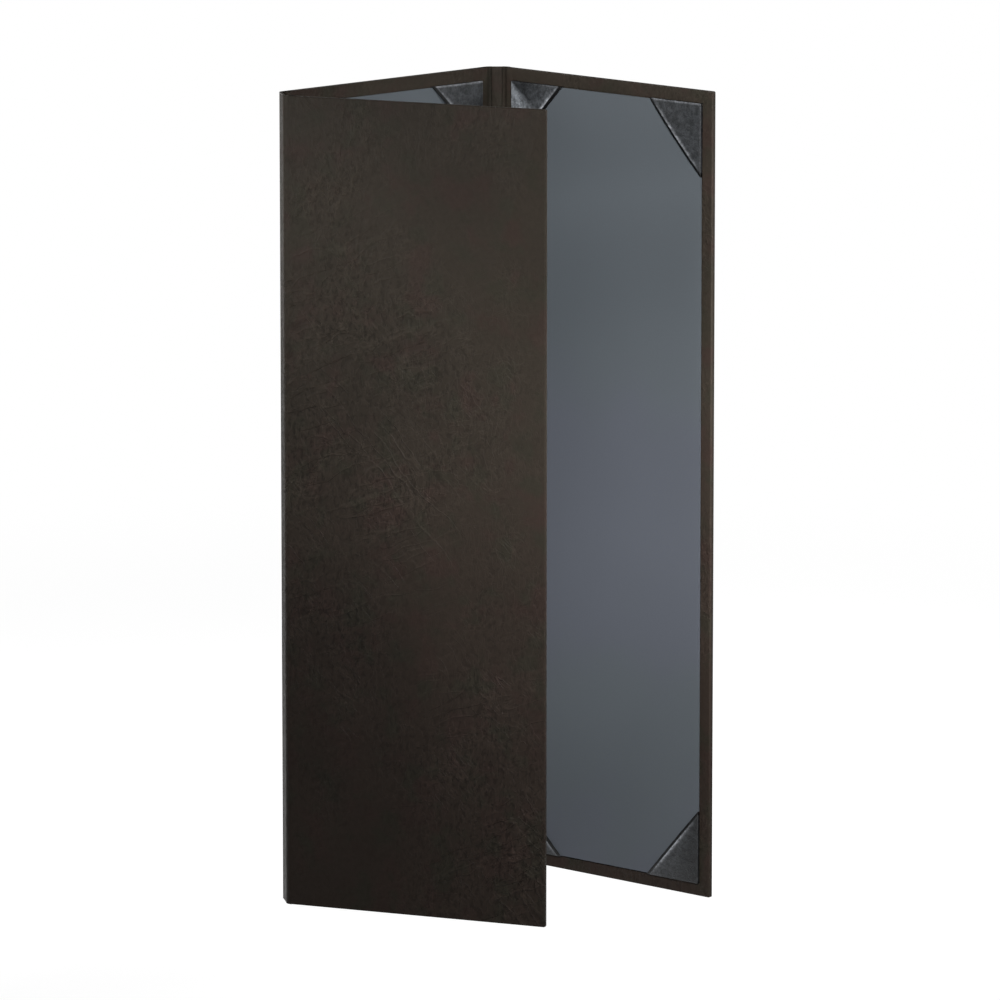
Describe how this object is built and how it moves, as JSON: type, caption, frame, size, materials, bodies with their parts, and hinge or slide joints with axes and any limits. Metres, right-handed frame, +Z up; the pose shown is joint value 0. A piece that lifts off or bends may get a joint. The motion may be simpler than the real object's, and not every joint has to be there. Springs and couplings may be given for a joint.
{
  "type": "menu cover",
  "caption": "Tall folding menu cover of leatherette-wrapped boards, standing half open, with grey liner cards and black corner pockets that hold the menu sheets.",
  "frame": {"origin": "middle of the centre panel's bottom edge, where the cover skin meets the board", "axes": "+Z up along the panels' height, +X to the right along the centre panel, -Y out of the centre panel's inside face"},
  "size_m": [0.154, 0.1327, 0.3747],
  "materials": {
    "cover_leatherette": "dark brown crackle grain, semi-matte",
    "inner_leatherette": "dark brown, semi-matte, pressed into the grooves",
    "greyboard": "raw",
    "liner_card": "smooth matte grey-blue",
    "pocket_leatherette": "black, fine grain, slight sheen"
  },
  "bodies": {
    "centre_panel": {"centre_cover": "cover_leatherette", "centre_board": "greyboard", "centre_liner": "liner_card", "centre_left_hinge_lining": "inner_leatherette", "centre_right_hinge_lining": "inner_leatherette", "centre_bottom_left_pocket": "pocket_leatherette", "centre_bottom_right_pocket": "pocket_leatherette", "centre_top_left_pocket": "pocket_leatherette", "centre_top_right_pocket": "pocket_leatherette"},
    "right_spine": {"right_spine_cover": "cover_leatherette", "right_spine_board": "greyboard", "right_spine_lining": "inner_leatherette", "centre_right_groove": "cover_leatherette", "right_groove": "cover_leatherette"},
    "right_panel": {"right_cover": "cover_leatherette", "right_board": "greyboard", "right_liner": "liner_card", "right_hinge_lining": "inner_leatherette", "right_bottom_left_pocket": "pocket_leatherette", "right_bottom_right_pocket": "pocket_leatherette", "right_top_left_pocket": "pocket_leatherette", "right_top_right_pocket": "pocket_leatherette"},
    "front_spine": {"front_spine_cover": "cover_leatherette", "front_spine_board": "greyboard", "front_spine_lining": "inner_leatherette", "centre_left_groove": "cover_leatherette", "front_groove": "cover_leatherette"},
    "front_panel": {"front_cover": "cover_leatherette", "front_board": "greyboard", "front_liner": "liner_card", "front_hinge_lining": "inner_leatherette", "front_bottom_left_pocket": "pocket_leatherette", "front_bottom_right_pocket": "pocket_leatherette", "front_top_left_pocket": "pocket_leatherette", "front_top_right_pocket": "pocket_leatherette"}
  },
  "joints": [
    {"name": "right_panel_fold", "type": "hinge", "parent": "right_spine", "child": "right_panel", "pos_m": [0.06989, -0.00575, 0], "axis": [0, 0, 1], "range_deg": [-8, 42], "deforming": ["right_groove"]},
    {"name": "right_spine_fold", "type": "hinge", "parent": "centre_panel", "child": "right_spine", "pos_m": [0.0635, 0, 0], "axis": [0, 0, 1], "range_deg": [-8, 42], "deforming": ["centre_right_groove"]},
    {"name": "front_panel_fold", "type": "hinge", "parent": "front_spine", "child": "front_panel", "pos_m": [-0.07034, -0.01094, 0], "axis": [0, 0, 1], "range_deg": [-58, 32], "deforming": ["front_groove"]},
    {"name": "front_spine_fold", "type": "hinge", "parent": "centre_panel", "child": "front_spine", "pos_m": [-0.0635, 0, 0], "axis": [0, 0, 1], "range_deg": [-58, 32], "deforming": ["centre_left_groove"]}
  ],
  "couplings": [
    {"joint": "right_spine_fold", "follows": "right_panel_fold", "ratio": 1},
    {"joint": "front_spine_fold", "follows": "front_panel_fold", "ratio": 1}
  ]
}
